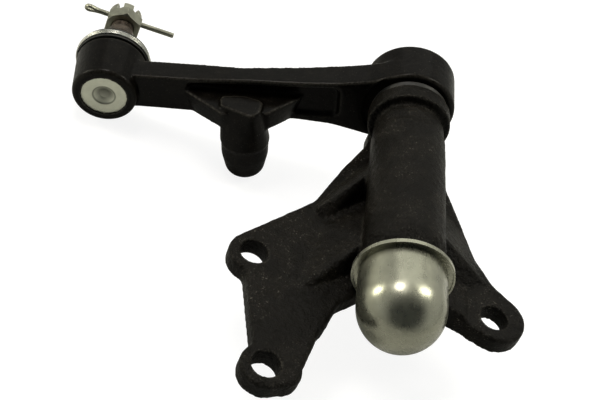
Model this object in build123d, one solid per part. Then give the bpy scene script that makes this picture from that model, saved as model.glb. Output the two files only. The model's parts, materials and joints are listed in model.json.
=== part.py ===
"""Steering idler arm of a light truck.

A cast bracket carries a turning shaft in two bushes. A forged arm is pressed on the shaft's
rear end, with a stop boss at mid length and a ball joint at its free end.

Frame: millimetres, +Z up out of the mounting face, the shaft along Y, the dust cap towards -Y.
Origin: on the mounting face, under the shaft axis, on the line of the two upper bolt holes.
"""
from build123d import *
from math import atan2, cos, degrees, pi, radians, sin, sqrt
import os

# Clearances
RUN_FIT = 0.04            # radial, shaft or ball in its bearing
PRESS_FIT = 0.02          # radial, pieces pressed or screwed together
AIR = 0.3                 # between bodies that must not rub

# Mounting plate
AXIS_HEIGHT = 26.0        # shaft axis above the mounting face
PLATE_THICKNESS = 10.0
BOLT_HOLE_RADIUS = 7.25
HOLE_UPPER_LEFT = (-71.5, 1.3)
HOLE_LOWER_LEFT = (-58.7, -64.9)
HOLE_RIGHT = (54.2, -1.0)
EAR_RADIUS = 12.6
EAR_RIGHT_RADIUS = 15.6
EAR_ROOT_RADIUS = 5.0     # inside corners of the plate's outline
PLATE_EDGE_RADIUS = 1.6
TAIL_HALF_WIDTH = 17.6
TAIL_STRAIGHT = 11.0      # length of the tail with parallel sides
TAIL_SETBACK = 1.1        # plate's rear end in front of the head's rear face

# Bracket tube, its front spigot and its rear head
SHOULDER_Y = -3.5         # face that the dust cap's flange seats on
SPIGOT_LENGTH = 5.0
COLLAR_RADIUS = 24.0
COLLAR_LENGTH = 3.5
TUBE_FRONT_RADIUS = 20.9
TUBE_REAR_RADIUS = 19.9
TUBE_LENGTH = 93.3        # from the shoulder to the band
BAND_RADIUS = 19.1        # turned band behind the cast surface of the tube
BAND_LENGTH = 9.3
GROOVE_RADIUS = 17.1
GROOVE_LENGTH = 4.7
HEAD_RADIUS = 22.4
HEAD_LENGTH = 9.3
TURNED_EDGE = 0.8         # bevels of the band, groove and head

# Ribs between the plate and the tube, lengths behind the shoulder
RIB_ROOT_X = 15.0         # inside the tube
RIB_CREST_X = 21.5
RIB_SINK = 1.5            # depth of the ribs' feet in the plate
FAR_RIB_Y = 65.0
NEAR_RIB_Y = 15.0
RIGHT_RIB_Y = 32.5
EAR_WEB_LENGTH = 21.5
EAR_WEB_HEIGHT = 9.0

# Shaft, bushes and front nut
SHAFT_RADIUS = 10.0
BUSH_WALL = 2.5
BUSH_LENGTH = 30.0
BUSH_FLANGE_RADIUS = 15.5
BUSH_FLANGE_THICKNESS = 2.0
GREASE_RELIEF = 1.2       # extra radius of the bore between the bushes
SHAFT_THREAD_RADIUS = 8.0
SHAFT_THREAD_LENGTH = 23.0
SHAFT_NUT_FLATS = 24.0
SHAFT_NUT_HEIGHT = 17.0
SHAFT_NUT_SLOT_DEPTH = 6.0
THRUST_WASHER_RADIUS = 15.0
THRUST_WASHER_THICKNESS = 3.0
END_FLOAT = 0.1
SHAFT_PIN_RADIUS = 1.9
SHAFT_PIN_REACH = 15.5    # legs' end and the eye's centre from the shaft's axis
SHAFT_PIN_EYE_RADIUS = 2.4

# Dust cap
CAP_BODY_RADIUS = 22.1
CAP_SHEET = 1.4
CAP_BODY_LENGTH = 22.0
CAP_FLANGE_RADIUS = 25.4
CAP_FLANGE_THICKNESS = 2.0
CAP_LIP_WIDTH = 0.9
CAP_GROOVE_DEPTH = 0.7

# Gap between the bracket's head and the arm, closed by the seal
HEAD_GAP = 4.5
SEAL_RADIUS = 20.2
SEAL_BORE_RADIUS = 16.5
SEAL_LIP = 1.2

# Arm: u runs from the shaft to the ball joint, w is square to it and up
ARM_LENGTH = 167.4
ARM_DROP = 15.04          # degrees below -X
EYE_RADIUS = 24.75
EYE_LENGTH = 26.2
EYE_EDGE = 1.2
EYE_BORE_RADIUS = 12.0
BEAM_PROUD = 1.4          # beam's front face in front of the eye's
BEAM_RELIEF = 1.6         # radial, between the eye and the proud face
BEAM_EYE_THICKNESS = 15.9
BEAM_WAIST_THICKNESS = 11.5
BEAM_JOINT_THICKNESS = 13.8
BEAM_HALF_HEIGHT = 11.2   # at the ball joint
BEAM_TOP_RISE = 2.4       # more height above the stop boss
BEAM_FLARE_RADIUS = 55.0
BEAM_EDGE = 1.2
POCKET_DEPTH = 2.8
POCKET_START_U = 38.0
POCKET_END_U = 124.0
POCKET_RIM = 2.7          # width of the rim over the pocket
POCKET_FLOOR_W = -8.2
POCKET_DRAFT = 1.6        # how much smaller the pocket's floor is, all round

# Gusset and stop boss on the arm's front face
GUSSET_TOP_W = 4.0
GUSSET_BOTTOM_W = -11.9
GUSSET_OUTER_U = 124.5
GUSSET_INNER_U = 59.5
GUSSET_BOTTOM_RISE = 2.9  # of the shelf's underside, from the beam to the boss
GUSSET_DRAFT = 6.0        # how much narrower the shelf's underside is, at each end
BOSS_U = 89.0
BOSS_REACH = 11.2         # boss axis in front of the beam's front face
BOSS_RADIUS = 13.8
BOSS_TOP_W = 6.5
BOSS_SEAM_W = -18.0
BOSS_END_W = -41.5
NOSE_STEP = 0.5
NOSE_TIP_RATIO = 0.76     # nose radius at its end over that at the seam
NOSE_TIP_EDGE = 6.0

# Ball joint housing
HOUSING_FRONT_RADIUS = 18.0
HOUSING_REAR_RADIUS = 20.0
HOUSING_LENGTH = 27.4
HOUSING_OVERHANG = 6.4    # housing face in front of the beam's front face
HOUSING_FRONT_EDGE = 2.8
HOUSING_BORE_RADIUS = 14.3
HOUSING_SPIGOT_RADIUS = 18.4
HOUSING_SPIGOT_LENGTH = 7.0
HOUSING_THROAT_RADIUS = 10.8
HOUSING_MOUTH_RADIUS = 13.6
PLUG_LIP_RADIUS = 12.5
PLUG_LIP_THICKNESS = 1.0
PLUG_THICKNESS = 3.0
PLUG_DIMPLE_RADIUS = 6.5
PLUG_DIMPLE_DEPTH = 1.9

# Ball stud
BALL_RADIUS = 11.5
BALL_DEPTH = 18.7         # ball centre behind the housing's front face
SEAT_SPLIT = 0.4
SEAT_DEPTH = 6.3          # seat's rear end behind the ball's centre
SPRING_WIRE = 0.8
NECK_RADIUS = 7.0
TAPER_BIG_RADIUS = 8.0
TAPER_START = 24.5        # along the stud, from the ball's centre
TAPER_LENGTH = 12.0
TAPER_RATIO = 0.1         # on diameter
STUD_THREAD_RADIUS = 6.0
STUD_LENGTH = 53.2
NUT_FLATS = 19.3
NUT_HEIGHT = 13.0
NUT_SLOT_DEPTH = 6.3
NUT_SLOT_WIDTH = 3.9
CROWN_RATIO = 0.49        # crown radius over the width across flats
NUT_START = 41.9          # nut's base, from the ball's centre
NUT_TURN = -3.5           # degrees, a slot's direction from +X
COTTER_RADIUS = 1.5
COTTER_REACH = 30.0       # legs' end from the stud's axis
COTTER_HEAD_REACH = 18.0  # centre of the pin's eye from the stud's axis
COTTER_EYE_RADIUS = 2.7
COTTER_WIRE = 0.75        # of the leg's radius, the eye's wire
COTTER_SPLIT = 0.2        # between the legs
LOOP_NECK = 2.2           # eye radii from the loop's centre to where its sides meet

# Dust boot and its rings
BOOT_WALL = 1.9
BOOT_SKIRT_LENGTH = 6.2
BOOT_BULGE_LENGTH = 8.0
BOOT_NECK_RADIUS = 8.0
BOOT_NECK_LENGTH = 3.5
BOOT_LENGTH = 20.1
RING_WIRE = 0.95
LARGE_RING_TURNS = 3
SMALL_RING_TURNS = 2

# Places that follow from the sizes above
BAND_FRONT_Y = SHOULDER_Y + TUBE_LENGTH
GROOVE_FRONT_Y = BAND_FRONT_Y + BAND_LENGTH
HEAD_FRONT_Y = GROOVE_FRONT_Y + GROOVE_LENGTH
HEAD_BACK_Y = HEAD_FRONT_Y + HEAD_LENGTH
TAIL_END_Y = HEAD_BACK_Y - TAIL_SETBACK
JOURNAL_BACK_Y = HEAD_BACK_Y + BUSH_FLANGE_THICKNESS + END_FLOAT
EYE_FRONT_Y = HEAD_BACK_Y + HEAD_GAP
EYE_BACK_Y = EYE_FRONT_Y + EYE_LENGTH
BEAM_FRONT_Y = EYE_FRONT_Y - BEAM_PROUD
SPIGOT_FRONT_Y = SHOULDER_Y - SPIGOT_LENGTH
BUSH_RADIUS = SHAFT_RADIUS + BUSH_WALL
CAP_INNER_RADIUS = CAP_BODY_RADIUS - CAP_SHEET
WASHER_BACK_Y = SPIGOT_FRONT_Y - BUSH_FLANGE_THICKNESS - END_FLOAT
WASHER_FRONT_Y = WASHER_BACK_Y - THRUST_WASHER_THICKNESS
HOUSING_FRONT_Y = BEAM_FRONT_Y - HOUSING_OVERHANG
HOUSING_BACK_Y = HOUSING_FRONT_Y + HOUSING_LENGTH
SPIGOT_BACK_Y = HOUSING_BACK_Y + HOUSING_SPIGOT_LENGTH
BALL_Y = HOUSING_FRONT_Y + BALL_DEPTH
BALL_X = -ARM_LENGTH * cos(radians(ARM_DROP))
BALL_Z = AXIS_HEIGHT - ARM_LENGTH * sin(radians(ARM_DROP))
PLUG_FRONT_Y = HOUSING_FRONT_Y + PLUG_LIP_THICKNESS
PLUG_BACK_Y = PLUG_FRONT_Y + PLUG_THICKNESS
SEAT_BACK_Y = BALL_Y + SEAT_DEPTH
BOOT_FRONT_Y = SPIGOT_BACK_Y - BOOT_SKIRT_LENGTH
BOSS_Y = BEAM_FRONT_Y - BOSS_REACH
ARM_U = Vector(-cos(radians(ARM_DROP)), 0, -sin(radians(ARM_DROP)))
ARM_W = Vector(-sin(radians(ARM_DROP)), 0, cos(radians(ARM_DROP)))


def turned(profile, x=0.0, y=0.0, z=AXIS_HEIGHT):
    """A body of revolution about a line along Y, from (radius, y) points or edges."""
    wire = profile if isinstance(profile, (Curve, Wire)) else Polyline(*profile, close=True)
    return Pos(x, y, z) * revolve(make_face(wire), Axis.Y)


def rounded_outline(corners, plane=Plane.XY):
    """A flat face from (x, y, corner radius) triples."""
    points = [(x, y) for x, y, _ in corners]
    radii = [radius for _, _, radius in corners]
    return plane * make_face(FilletPolyline(*points, radius=radii, close=True))


def along_y(radius, start, end, x=0.0, z=AXIS_HEIGHT):
    """A round bar along Y from start to end."""
    return Pos(x, (start + end) / 2, z) * Rot(90, 0, 0) * Cylinder(radius, abs(end - start))


def arm_face_plane(y):
    """Plane square to the shaft, with u to the right and w up."""
    return Plane(origin=(0, y, AXIS_HEIGHT), x_dir=ARM_U, z_dir=(0, 1, 0))


def arm_top_plane(w):
    """Plane square to w, with u to the right and the front (-Y) up."""
    return Plane(origin=Vector(0, 0, AXIS_HEIGHT) + ARM_W * w, x_dir=ARM_U, z_dir=ARM_W)


def plate_outline():
    """The flange seen from above: three ears joined by a waisted web that narrows to the rear."""
    ax, ay = HOLE_UPPER_LEFT
    bx, by = HOLE_LOWER_LEFT
    cx, cy = HOLE_RIGHT
    side = TAIL_HALF_WIDTH
    core = rounded_outline([
        (-side, TAIL_END_Y, 3),
        (-side, TAIL_END_Y - TAIL_STRAIGHT, 14),
        (ax + 41.0, ay + 75.0, 30),
        (ax + 28.0, ay + 46.0, 16),
        (ax - 8.7, ay + 9.0, 1),
        (ax - 2.8, ay - 12.3, 1),
        (bx - 7.6, by + 12.0, 3),
        (bx - 4.0, by + 2.0, 1),
        (bx + 17.5, by + 3.0, 6),
        (bx + 24.1, by + 27.2, 3),
        (bx + 26.3, by + 30.6, 3),
        (bx + 32.0, by + 47.0, 3),
        (-16.2, -8.0, 4),
        (-11.0, SHOULDER_Y, 3),
        (22.0, SHOULDER_Y, 4),
        (cx - 15.0, cy - 8.2, 4),
        (cx - 8.0, cy - 12.2, 3),
        (cx + 12.4, cy + 12.0, 1),
        (cx + 0.6, cy + 21.6, 22),
        (cx - 10.2, cy + 37.5, 30),
        (cx - 16.8, cy + 58.0, 30),
        (side + 4.0, TAIL_END_Y - TAIL_STRAIGHT, 12),
        (side, TAIL_END_Y, 3),
    ])
    ears = Pos(ax, ay) * Circle(EAR_RADIUS)
    ears += Pos(bx, by) * Circle(EAR_RADIUS)
    ears += Pos(bx + 6.7, by + 1.2) * Circle(EAR_RADIUS - 1.4)
    ears += Pos(cx + 1.4, cy + 1.2) * Circle(EAR_RIGHT_RADIUS)
    outline = core + ears
    grown = offset(outline, amount=EAR_ROOT_RADIUS, kind=Kind.ARC)
    return offset(grown, amount=-EAR_ROOT_RADIUS, kind=Kind.ARC)


def plate():
    """The flange with rounded edges, before the bolt holes."""
    body = extrude(plate_outline(), PLATE_THICKNESS)
    body = fillet(body.edges().group_by(Axis.Z)[-1], PLATE_EDGE_RADIUS)
    return body


def rib(ridge, foot):
    """A cast rib as a hull: its ridge points stand over foot points sunk in the plate."""
    return ConvexPolyhedron(list(ridge) + list(foot))


def ribs():
    """Two saw-tooth webs left of the tube, one right of it, and the right ear's short web."""
    ax, ay = HOLE_UPPER_LEFT
    bx, by = HOLE_LOWER_LEFT
    cx, cy = HOLE_RIGHT
    low = PLATE_THICKNESS - RIB_SINK
    top = PLATE_THICKNESS + 0.6
    web_top = PLATE_THICKNESS + EAR_WEB_HEIGHT
    crest, root = RIB_CREST_X, RIB_ROOT_X
    far, near, right_y = SHOULDER_Y + FAR_RIB_Y, SHOULDER_Y + NEAR_RIB_Y, SHOULDER_Y + RIGHT_RIB_Y
    web_end = SHOULDER_Y + EAR_WEB_LENGTH
    far_left = rib(
        [(ax + 28.5, ay + 37.2, top + 2.9), (-crest, far, AXIS_HEIGHT - 3),
         (-root, far + 6.7, AXIS_HEIGHT)],
        [(ax + 32.8, ay + 32.7, low), (-root, far - 3.8, low), (ax + 27.8, ay + 40.0, low),
         (-crest, far + 19.0, low), (-root, far + 25.0, low)])
    near_left = rib(
        [(bx + 12.0, by + 53.0, top), (-crest, near, AXIS_HEIGHT - 3),
         (-root, near + 6.0, AXIS_HEIGHT)],
        [(bx + 13.5, by + 49.3, low), (-crest, near - 10.6, low), (-root, near - 5.5, low),
         (ax + 31.5, ay + 32.0, low), (-root, near + 45.5, low)])
    right = rib(
        [(cx - 4.2, cy + 20.6, top), (crest + 1.4, right_y, AXIS_HEIGHT - 1),
         (root, right_y + 3.0, AXIS_HEIGHT + 1)],
        [(cx - 3.6, cy + 21.6, low), (cx - 14.5, cy + 14.4, low), (root, right_y - 27.0, low),
         (cx - 9.0, cy + 34.0, low), (cx - 16.5, cy + 56.0, low), (root, right_y + 61.0, low)])
    ear_web = rib(
        [(cx - 15.2, cy + 12.0, top + 0.6), (cx - 15.2, cy - 6.5, top + 0.6),
         (root, web_end, web_top), (root, SHOULDER_Y, web_top)],
        [(cx - 14.6, cy + 12.0, low), (cx - 14.6, cy - 7.0, low), (root, web_end, low),
         (root, SHOULDER_Y, low)])
    return [far_left, near_left, right, ear_web]


def bracket():
    """Cast bracket: flange, ribs, tube with a front spigot, band, groove and rear head, bored."""
    spigot = CAP_INNER_RADIUS - PRESS_FIT
    edge = TURNED_EDGE
    tube = turned([
        (0, SPIGOT_FRONT_Y), (spigot, SPIGOT_FRONT_Y), (spigot, SHOULDER_Y),
        (COLLAR_RADIUS, SHOULDER_Y), (COLLAR_RADIUS, SHOULDER_Y + COLLAR_LENGTH),
        (TUBE_FRONT_RADIUS, SHOULDER_Y + 3 * COLLAR_LENGTH),
        (TUBE_REAR_RADIUS, BAND_FRONT_Y), (BAND_RADIUS, BAND_FRONT_Y + edge),
        (BAND_RADIUS, GROOVE_FRONT_Y), (GROOVE_RADIUS, GROOVE_FRONT_Y + edge),
        (GROOVE_RADIUS, HEAD_FRONT_Y - edge), (GROOVE_RADIUS + edge, HEAD_FRONT_Y),
        (HEAD_RADIUS - edge / 2, HEAD_FRONT_Y), (HEAD_RADIUS, HEAD_FRONT_Y + edge / 2),
        (HEAD_RADIUS, HEAD_BACK_Y), (0, HEAD_BACK_Y)])
    body = plate() + tube
    for one in ribs():
        body += one
    bore = along_y(BUSH_RADIUS + PRESS_FIT, SPIGOT_FRONT_Y - 1, HEAD_BACK_Y + 1)
    relief_start = SPIGOT_FRONT_Y + BUSH_LENGTH
    relief_end = HEAD_BACK_Y - BUSH_LENGTH
    bore += along_y(BUSH_RADIUS + GREASE_RELIEF, relief_start, relief_end)
    body -= bore
    for x, y in (HOLE_UPPER_LEFT, HOLE_LOWER_LEFT, HOLE_RIGHT):
        body -= Pos(x, y, PLATE_THICKNESS / 2) * Cylinder(BOLT_HOLE_RADIUS, 3 * PLATE_THICKNESS)
    cap_space = along_y(CAP_FLANGE_RADIUS + AIR, SHOULDER_Y - CAP_BODY_LENGTH, SHOULDER_Y)
    return body - (cap_space - along_y(spigot, SHOULDER_Y - CAP_BODY_LENGTH - 1, SHOULDER_Y))


def bush(seat_y, inward):
    """Flanged bush; its flange lies outside seat_y and its sleeve runs inward (+1 or -1 along Y)."""
    flange_y = seat_y - inward * BUSH_FLANGE_THICKNESS
    end_y = seat_y + inward * BUSH_LENGTH
    bore = SHAFT_RADIUS + RUN_FIT
    return turned([
        (bore, flange_y), (BUSH_FLANGE_RADIUS, flange_y), (BUSH_FLANGE_RADIUS, seat_y),
        (BUSH_RADIUS, seat_y), (BUSH_RADIUS, end_y), (bore, end_y)])


def dust_cap():
    """Drawn steel cap with a domed end, pushed over the spigot up to its flange."""
    front = SHOULDER_Y - CAP_FLANGE_THICKNESS
    dome_y = front - CAP_BODY_LENGTH + CAP_FLANGE_THICKNESS
    lip = CAP_FLANGE_RADIUS - CAP_LIP_WIDTH
    groove = front + CAP_GROOVE_DEPTH
    outer = CAP_BODY_RADIUS
    inner = CAP_INNER_RADIUS
    at_45 = sqrt(0.5)
    line = Polyline((inner, dome_y), (inner, SHOULDER_Y), (CAP_FLANGE_RADIUS, SHOULDER_Y),
                    (CAP_FLANGE_RADIUS, front), (lip, front), (lip - 0.3, groove),
                    (outer, groove), (outer, dome_y))
    dome_out = ThreePointArc((outer, dome_y), (outer * at_45, dome_y - outer * at_45),
                             (0, dome_y - outer))
    tip = Line((0, dome_y - outer), (0, dome_y - inner))
    dome_in = ThreePointArc((0, dome_y - inner), (inner * at_45, dome_y - inner * at_45),
                            (inner, dome_y))
    return turned(line + dome_out + tip + dome_in)


def dust_seal():
    """Rubber ring pressed on the head's rear face, with a lip towards the turning eye."""
    tip = EYE_FRONT_Y - AIR
    root = HEAD_BACK_Y + 2.4
    return turned([
        (SEAL_BORE_RADIUS, HEAD_BACK_Y), (SEAL_RADIUS, HEAD_BACK_Y), (SEAL_RADIUS, root),
        (SEAL_RADIUS + 0.6, tip), (SEAL_RADIUS + 0.6 - SEAL_LIP, tip),
        (SEAL_RADIUS - 2.2, root), (SEAL_BORE_RADIUS, root)])


def idler_shaft():
    """Turned shaft: rear end pressed in the eye, journal, and a threaded front end."""
    edge = 1.0
    end = WASHER_FRONT_Y - SHAFT_THREAD_LENGTH
    face = JOURNAL_BACK_Y
    back = EYE_BACK_Y + 0.6
    press = EYE_BORE_RADIUS - PRESS_FIT
    body = turned([
        (0, end), (SHAFT_THREAD_RADIUS - edge, end), (SHAFT_THREAD_RADIUS, end + edge),
        (SHAFT_THREAD_RADIUS, WASHER_BACK_Y), (SHAFT_RADIUS, WASHER_BACK_Y),
        (SHAFT_RADIUS, face), (press, face), (press, back - edge), (press - edge, back), (0, back)])
    hole_y = WASHER_FRONT_Y - SHAFT_NUT_HEIGHT + SHAFT_NUT_SLOT_DEPTH / 2
    hole = Cylinder(SHAFT_PIN_RADIUS + PRESS_FIT, 4 * SHAFT_THREAD_RADIUS)
    return body - Pos(0, hole_y, AXIS_HEIGHT) * Rot(0, 90, 0) * hole


def castle_nut(flats, height, bore, slot_depth, slot_width):
    """Castle nut with its base at the origin and its round-bottomed slots at the top, along +Z."""
    corner = flats / sqrt(3)
    crown = CROWN_RATIO * flats
    blank = turned_up([
        (bore, 0.6), (bore + 0.9, 0), (corner - 1.4, 0), (corner, 0.9),
        (corner, height - slot_depth), (crown, height - slot_depth + 0.7), (crown, height - 1.2),
        (crown - 1.2, height), (bore + 0.6, height), (bore, height - 0.6)])
    body = extrude(RegularPolygon(radius=corner, side_count=6, rotation=30), height) & blank
    middle = height - slot_depth + slot_width / 2
    for turn in range(3):
        slot = Pos(0, 0, height) * Box(3 * corner, slot_width, 2 * (height - middle))
        slot += Pos(0, 0, middle) * Rot(0, 90, 0) * Cylinder(slot_width / 2, 3 * corner)
        body -= Rot(0, 0, 60 * turn) * slot
    return body


def turned_up(profile):
    """A body of revolution about Z through the origin, from (radius, z) points."""
    return revolve(make_face(Plane.XZ * Polyline(*profile, close=True)), Axis.Z)


def cotter_pin(radius, reach, head_reach, eye_radius):
    """Split pin along X through the origin: two legs side by side, joined by a loop at -X."""
    wire = COTTER_WIRE * radius
    neck = head_reach - LOOP_NECK * eye_radius
    shank = Rot(0, 90, 0) * Cylinder(radius, reach + neck)
    shank = Pos((reach - neck) / 2, 0, 0) * shank
    shank = chamfer(shank.edges().sort_by(Axis.X)[-1], radius / 2)
    shank -= Pos(reach, 0, 0) * Box(2 * (reach + neck) - 2 * radius, 3 * radius, COTTER_SPLIT)
    tangent_x = eye_radius / LOOP_NECK - head_reach
    tangent_z = eye_radius * sqrt(1 - 1 / LOOP_NECK ** 2)
    pin = shank + Pos(-head_reach, 0, 0) * Rot(90, 0, 0) * Torus(eye_radius, wire)
    start = Vector(wire - neck, 0, 0)
    for up in (1, -1):
        way = Vector(tangent_x, 0, up * tangent_z) - start
        pin += Plane(origin=start + way * 0.5, z_dir=way) * Cylinder(wire, way.length)
    return pin


def arm_beam():
    """The forged beam with its flare to the eye and the pocket in its front face."""
    end = BEAM_HALF_HEIGHT
    rise = BEAM_TOP_RISE
    flare = BEAM_FLARE_RADIUS
    outline = rounded_outline([
        (0, EYE_RADIUS - 1.0, 2), (7.6, EYE_RADIUS - 1.3, 2), (23.0, end + 7.7, flare),
        (39.5, end + 4.8, flare), (58.0, end + 3.3, flare), (BOSS_U, end + rise, flare),
        (BOSS_U + 29.0, end + 0.4, flare), (ARM_LENGTH, end - 0.2, 2), (ARM_LENGTH, -end, 2),
        (61.6, -end - 0.9, flare), (42.0, -end - 2.4, flare), (22.0, -end - 8.2, flare),
        (4.0, 0.6 - EYE_RADIUS, 2), (0, 0.8 - EYE_RADIUS, 2)], arm_face_plane(BEAM_FRONT_Y))
    front = -BEAM_FRONT_Y
    plan = rounded_outline([
        (-1, front, 0.1), (ARM_LENGTH + 1, front, 0.1),
        (ARM_LENGTH + 1, front - BEAM_JOINT_THICKNESS, 0.1),
        (BOSS_U + 29.0, front - BEAM_JOINT_THICKNESS, flare),
        (BOSS_U + 3.0, front - BEAM_WAIST_THICKNESS, flare / 2),
        (42.0, front - BEAM_EYE_THICKNESS, flare), (-1, front - BEAM_EYE_THICKNESS, 0.1)],
        arm_top_plane(-2 * EYE_RADIUS))
    beam = extrude(outline, 2 * BEAM_EYE_THICKNESS, dir=(0, 1, 0))
    beam = beam & extrude(plan, 4 * EYE_RADIUS, dir=ARM_W)
    beam = fillet(beam.faces().sort_by(Axis.Y)[0].edges(), BEAM_EDGE)
    start, rim, floor = POCKET_START_U, POCKET_RIM, POCKET_FLOOR_W
    shelf = GUSSET_TOP_W - 2.0
    pocket = rounded_outline([
        (start, floor, 5), (start, end + 4.8 - rim, 4), (58.0, end + 3.3 - rim, flare),
        (BOSS_U, end + rise - rim, flare), (POCKET_END_U, end + 0.2 - rim, 3),
        (POCKET_END_U - 3, shelf, 2.5), (GUSSET_INNER_U + 5, shelf, 3),
        (GUSSET_INNER_U + 3.5, floor, 3)], arm_face_plane(BEAM_FRONT_Y))
    inner = offset(pocket, amount=-POCKET_DRAFT, kind=Kind.INTERSECTION)
    inner = Pos(0, POCKET_DEPTH, 0) * inner
    beam -= loft([pocket.face(), inner.face()])
    return beam


def gusset():
    """Shelf that carries the stop boss in front of the beam, its underside rising to the front."""
    root = BEAM_FRONT_Y + POCKET_DEPTH + 0.5
    levels = []
    for w, draft in ((GUSSET_TOP_W, 0.0), (GUSSET_BOTTOM_W, GUSSET_DRAFT)):
        levels.append(rounded_outline([
            (GUSSET_OUTER_U + 1 - draft, -root, 1), (GUSSET_OUTER_U - draft, -BEAM_FRONT_Y, 1),
            (BOSS_U + 12.4 - draft / 3, -(BOSS_Y - 6.0), 4), (BOSS_U - 12.4, -(BOSS_Y - 3.4), 4),
            (GUSSET_INNER_U + draft, -BEAM_FRONT_Y, 1), (GUSSET_INNER_U - 0.6 + draft, -root, 1)],
            arm_top_plane(w)))
    body = loft(levels)
    slope = degrees(atan2(GUSSET_BOTTOM_RISE, BOSS_REACH))
    hinge = arm_top_plane(GUSSET_BOTTOM_W) * Pos(BOSS_U, -BEAM_FRONT_Y, 0) * Rot(slope, 0, 0)
    return body - hinge * Pos(0, 0, -BOSS_RADIUS) * Box(ARM_LENGTH, ARM_LENGTH, 2 * BOSS_RADIUS)


def stop_boss():
    """Stop boss: a flared upper part with a flat top, and a turned nose below the seam."""
    u, front = BOSS_U, -BOSS_Y
    top = rounded_outline([
        (u + 14.4, front - 5.8, 3), (u + 1.0, front - 7.2, 8), (u - 9.4, front - 3.6, 3),
        (u - 8.9, front + 4.4, 3), (u - 4.6, front + 9.8, 3), (u + 13.0, front + 2.4, 3)],
        arm_top_plane(BOSS_TOP_W))
    seam = arm_top_plane(BOSS_SEAM_W) * Pos(u, front) * Circle(BOSS_RADIUS)
    upper = loft([top, seam])
    nose_radius = BOSS_RADIUS - NOSE_STEP
    depth = BOSS_END_W - BOSS_SEAM_W
    side = FilletPolyline((nose_radius, 1), (nose_radius - 0.3, 0.4 * depth),
                          (NOSE_TIP_RATIO * nose_radius, 0.98 * depth), (0, depth),
                          radius=[BOSS_RADIUS, NOSE_TIP_EDGE])
    close = Line((0, depth), (0, 1))
    back = Line((0, 1), (nose_radius, 1))
    nose = revolve(make_face(Plane.XZ * (side + close + back)), Axis.Z)
    place = Plane(origin=arm_top_plane(BOSS_SEAM_W).from_local_coords((u, front, 0)),
                  x_dir=ARM_U, z_dir=ARM_W)
    return upper + place * nose


def housing_blank():
    """Outside of the ball joint housing, wider to the rear, with the spigot for the boot."""
    edge = HOUSING_FRONT_EDGE
    flat = HOUSING_FRONT_RADIUS - edge
    arc = ThreePointArc(
        (flat, HOUSING_FRONT_Y),
        (flat + edge * sin(pi / 4), HOUSING_FRONT_Y + edge * (1 - cos(pi / 4))),
        (HOUSING_FRONT_RADIUS, HOUSING_FRONT_Y + edge))
    rest = Polyline(
        (HOUSING_FRONT_RADIUS, HOUSING_FRONT_Y + edge),
        (HOUSING_REAR_RADIUS, HOUSING_BACK_Y - TURNED_EDGE),
        (HOUSING_REAR_RADIUS - TURNED_EDGE, HOUSING_BACK_Y),
        (HOUSING_SPIGOT_RADIUS, HOUSING_BACK_Y), (HOUSING_SPIGOT_RADIUS, SPIGOT_BACK_Y),
        (0, SPIGOT_BACK_Y), (0, HOUSING_FRONT_Y), (flat, HOUSING_FRONT_Y))
    return turned(arc + rest, BALL_X, 0, BALL_Z)


def housing_cavity():
    """Space inside the housing: plug seat, seat bore, throat and flared mouth."""
    return turned([
        (0, HOUSING_FRONT_Y - 1), (PLUG_LIP_RADIUS, HOUSING_FRONT_Y - 1),
        (PLUG_LIP_RADIUS, PLUG_FRONT_Y), (HOUSING_BORE_RADIUS, PLUG_FRONT_Y),
        (HOUSING_BORE_RADIUS, SEAT_BACK_Y), (HOUSING_THROAT_RADIUS, SEAT_BACK_Y),
        (HOUSING_THROAT_RADIUS, SEAT_BACK_Y + 1.2), (HOUSING_MOUTH_RADIUS, SPIGOT_BACK_Y),
        (HOUSING_MOUTH_RADIUS, SPIGOT_BACK_Y + 1), (0, SPIGOT_BACK_Y + 1)], BALL_X, 0, BALL_Z)


def idler_arm():
    """Forged arm: eye, beam, gusset, stop boss and ball joint housing in one piece."""
    hub_radius = SEAL_BORE_RADIUS - 1.2
    eye = turned([
        (0, JOURNAL_BACK_Y), (hub_radius, JOURNAL_BACK_Y), (hub_radius, EYE_FRONT_Y),
        (EYE_RADIUS - EYE_EDGE, EYE_FRONT_Y), (EYE_RADIUS, EYE_FRONT_Y + EYE_EDGE),
        (EYE_RADIUS, EYE_BACK_Y - EYE_EDGE), (EYE_RADIUS - EYE_EDGE, EYE_BACK_Y), (0, EYE_BACK_Y)])
    relief = along_y(EYE_RADIUS + BEAM_RELIEF, EYE_FRONT_Y - 3 * BEAM_PROUD, EYE_FRONT_Y)
    body = (arm_beam() - relief) + eye + gusset() + stop_boss() + housing_blank()
    body -= along_y(EYE_BORE_RADIUS, HEAD_BACK_Y - 1, EYE_BACK_Y + 1)
    return body - housing_cavity()


def end_plug():
    """Steel plug held in the housing's front by the rolled lip, dished in its middle."""
    edge = HOUSING_BORE_RADIUS - PRESS_FIT
    depth = PLUG_DIMPLE_DEPTH
    return turned([
        (0, PLUG_FRONT_Y + depth), (0.4 * PLUG_DIMPLE_RADIUS, PLUG_FRONT_Y + 0.9 * depth),
        (0.8 * PLUG_DIMPLE_RADIUS, PLUG_FRONT_Y + 0.35 * depth),
        (PLUG_DIMPLE_RADIUS, PLUG_FRONT_Y), (edge, PLUG_FRONT_Y), (edge, PLUG_BACK_Y),
        (0, PLUG_BACK_Y)], BALL_X, 0, BALL_Z)


def ball_seat(front):
    """Half of the plastic ball seat; front is True for the half under the plug."""
    outer = HOUSING_BORE_RADIUS - PRESS_FIT
    if front:
        start, end = PLUG_BACK_Y + 2 * SPRING_WIRE, BALL_Y - SEAT_SPLIT / 2
    else:
        start, end = BALL_Y + SEAT_SPLIT / 2, SEAT_BACK_Y
    blank = along_y(outer, start, end, BALL_X, BALL_Z)
    return blank - Pos(BALL_X, BALL_Y, BALL_Z) * Sphere(BALL_RADIUS + RUN_FIT)


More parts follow.
